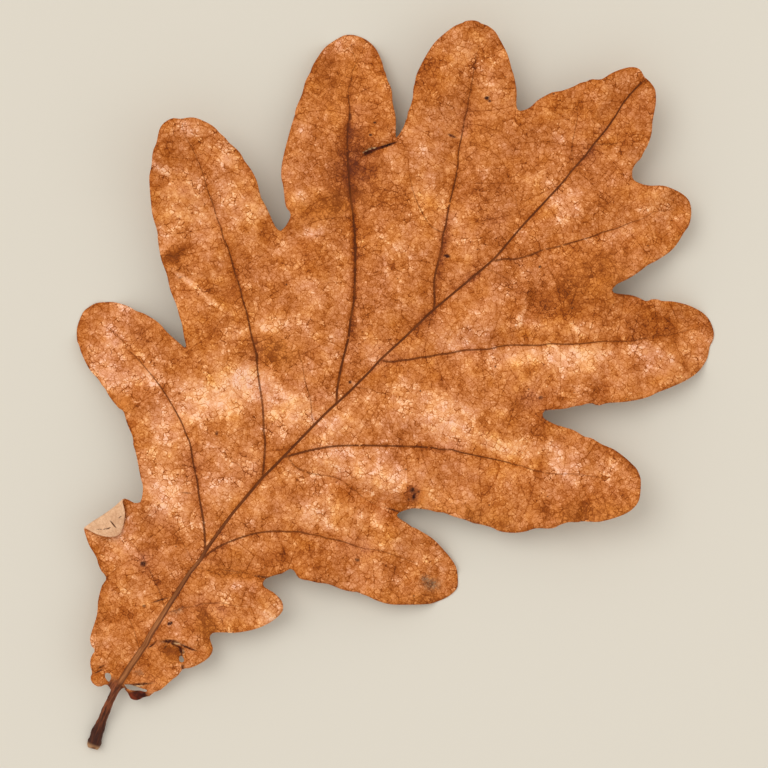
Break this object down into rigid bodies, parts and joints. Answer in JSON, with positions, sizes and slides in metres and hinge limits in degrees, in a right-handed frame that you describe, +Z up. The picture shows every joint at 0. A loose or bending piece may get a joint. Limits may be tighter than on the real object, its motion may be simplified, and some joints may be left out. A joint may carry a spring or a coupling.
{
  "type": "autumn leaf",
  "caption": "Dried, fallen English oak leaf with rounded lobes, a short petiole, raised veins underneath and one lobe tip folded over, lying on a surface.",
  "frame": {"origin": "centre of the leaf's plan outline, at the height of the surface it lies on", "axes": "+Y along the midrib from the petiole to the apex, +X to the right of the midrib seen from above, +Z up, out of the upper face"},
  "size_m": [0.084, 0.1208, 0.0089],
  "materials": {
    "leaf": "matte, slightly waxy upper face"
  },
  "bodies": {
    "root": {"oak_leaf": "leaf"}
  },
  "joints": []
}
